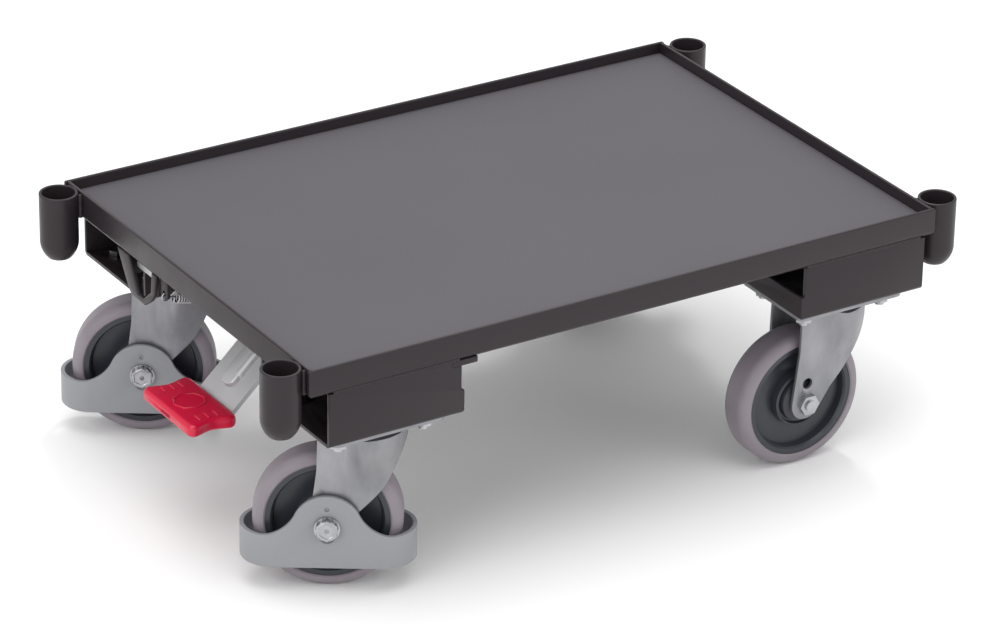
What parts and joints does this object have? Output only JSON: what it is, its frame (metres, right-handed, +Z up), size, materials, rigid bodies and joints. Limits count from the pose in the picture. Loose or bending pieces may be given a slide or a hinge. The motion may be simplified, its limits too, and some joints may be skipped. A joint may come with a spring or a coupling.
{
  "type": "furniture dolly",
  "caption": "Low transport dolly with a rimmed deck, corner sockets, swivel casters with foot guards and a pedal-operated central brake.",
  "frame": {"origin": "on the floor under the centre of the deck", "axes": "+X along the deck's length, away from the pedal; +Y across the deck; +Z up"},
  "size_m": [0.6815, 0.4383, 0.234],
  "materials": {
    "frame_paint": "satin powder coat",
    "deck_coat": "matt coated board",
    "bolt_zinc": "bright zinc plate",
    "zinc_sheet": "zinc-plated sheet",
    "spring_wire": "bright wire",
    "seal_black": "matt",
    "bush_plastic": "matt",
    "tread_grey": "matt rubber",
    "wheel_plastic": "moulded",
    "guard_plastic": "moulded",
    "pedal_red": "moulded"
  },
  "bodies": {
    "frame": {"rail_front": "frame_paint", "rail_back": "frame_paint", "rail_left": "frame_paint", "rail_right": "frame_paint", "deck_board": "deck_coat", "cross_bar": "frame_paint", "window_bracket": "frame_paint", "spring_tab": "frame_paint", "shaft_bushes": "bush_plastic", "mount_bolts": "bolt_zinc", "mount_washers": "bolt_zinc", "mount_nuts": "bolt_zinc", "bearing_seals": "seal_black", "bearing_balls": "spring_wire", "kingpins": "zinc_sheet", "socket_fl": "frame_paint", "box_fl": "frame_paint", "top_plate_fl": "zinc_sheet", "socket_fr": "frame_paint", "box_fr": "frame_paint", "top_plate_fr": "zinc_sheet", "socket_bl": "frame_paint", "box_bl": "frame_paint", "top_plate_bl": "zinc_sheet", "socket_br": "frame_paint", "box_br": "frame_paint", "top_plate_br": "zinc_sheet"},
    "swivel_fl": {"fork_fl": "zinc_sheet", "axle_bolt_fl": "bolt_zinc", "axle_nut_fl": "bolt_zinc"},
    "wheel_fl": {"wheel_core_fl": "wheel_plastic", "tread_fl": "tread_grey"},
    "guard_fl": {"foot_guard_fl": "guard_plastic"},
    "plunger_fl": {"plunger_fl": "zinc_sheet"},
    "swivel_fr": {"fork_fr": "zinc_sheet", "axle_bolt_fr": "bolt_zinc", "axle_nut_fr": "bolt_zinc"},
    "wheel_fr": {"wheel_core_fr": "wheel_plastic", "tread_fr": "tread_grey"},
    "swivel_bl": {"fork_bl": "zinc_sheet", "axle_bolt_bl": "bolt_zinc", "axle_nut_bl": "bolt_zinc"},
    "wheel_bl": {"wheel_core_bl": "wheel_plastic", "tread_bl": "tread_grey"},
    "guard_bl": {"foot_guard_bl": "guard_plastic"},
    "plunger_bl": {"plunger_bl": "zinc_sheet"},
    "swivel_br": {"fork_br": "zinc_sheet", "axle_bolt_br": "bolt_zinc", "axle_nut_br": "bolt_zinc"},
    "wheel_br": {"wheel_core_br": "wheel_plastic", "tread_br": "tread_grey"},
    "pedal": {"brake_shaft": "zinc_sheet", "shaft_collars": "zinc_sheet", "press_levers": "zinc_sheet", "stop_lever": "zinc_sheet", "pedal_arm": "zinc_sheet", "pedal_pad": "pedal_red", "spring_lever": "zinc_sheet"},
    "spring": {"return_spring": "spring_wire"}
  },
  "joints": [
    {"name": "swivel_fl", "type": "hinge", "parent": "frame", "child": "swivel_fl", "pos_m": [-0.2295, -0.16, 0.152], "axis": [0, 0, 1], "continuous": true},
    {"name": "roll_fl", "type": "hinge", "parent": "swivel_fl", "child": "wheel_fl", "pos_m": [-0.25273, -0.14528, 0.0625], "axis": [0.5351, 0.8448, 0], "continuous": true},
    {"name": "guard_lift_fl", "type": "slide", "parent": "swivel_fl", "child": "guard_fl", "axis": [0, 0, 1], "range_m": [0, 0.008]},
    {"name": "plunger_press_fl", "type": "slide", "parent": "frame", "child": "plunger_fl", "axis": [0, 0, -1], "range_m": [0, 0.0051]},
    {"name": "swivel_fr", "type": "hinge", "parent": "frame", "child": "swivel_fr", "pos_m": [0.2295, -0.16, 0.152], "axis": [0, 0, 1], "continuous": true},
    {"name": "roll_fr", "type": "hinge", "parent": "swivel_fr", "child": "wheel_fr", "pos_m": [0.202, -0.16, 0.0625], "axis": [0, 1, 0], "continuous": true},
    {"name": "swivel_bl", "type": "hinge", "parent": "frame", "child": "swivel_bl", "pos_m": [-0.2295, 0.16, 0.152], "axis": [0, 0, 1], "continuous": true},
    {"name": "roll_bl", "type": "hinge", "parent": "swivel_bl", "child": "wheel_bl", "pos_m": [-0.25273, 0.17472, 0.0625], "axis": [0.5351, 0.8448, 0], "continuous": true},
    {"name": "guard_lift_bl", "type": "slide", "parent": "swivel_bl", "child": "guard_bl", "axis": [0, 0, 1], "range_m": [0, 0.008]},
    {"name": "plunger_press_bl", "type": "slide", "parent": "frame", "child": "plunger_bl", "axis": [0, 0, -1], "range_m": [0, 0.0051]},
    {"name": "swivel_br", "type": "hinge", "parent": "frame", "child": "swivel_br", "pos_m": [0.2295, 0.16, 0.152], "axis": [0, 0, 1], "continuous": true},
    {"name": "roll_br", "type": "hinge", "parent": "swivel_br", "child": "wheel_br", "pos_m": [0.202, 0.16, 0.0625], "axis": [0, 1, 0], "continuous": true},
    {"name": "pedal_press", "type": "hinge", "parent": "frame", "child": "pedal", "pos_m": [-0.213, 0, 0.18], "axis": [0, -1, 0], "range_deg": [0, 18]},
    {"name": "spring_swing", "type": "hinge", "parent": "frame", "child": "spring", "pos_m": [-0.3025, 0.04, 0.1935], "axis": [0, 1, 0], "range_deg": [0, 7]}
  ],
  "couplings": [
    {"joint": "plunger_press_fl", "follows": "pedal_press", "m_per_rad": 0.0162},
    {"joint": "plunger_press_bl", "follows": "pedal_press", "m_per_rad": 0.0162},
    {"joint": "spring_swing", "follows": "pedal_press", "ratio": 0.369}
  ]
}
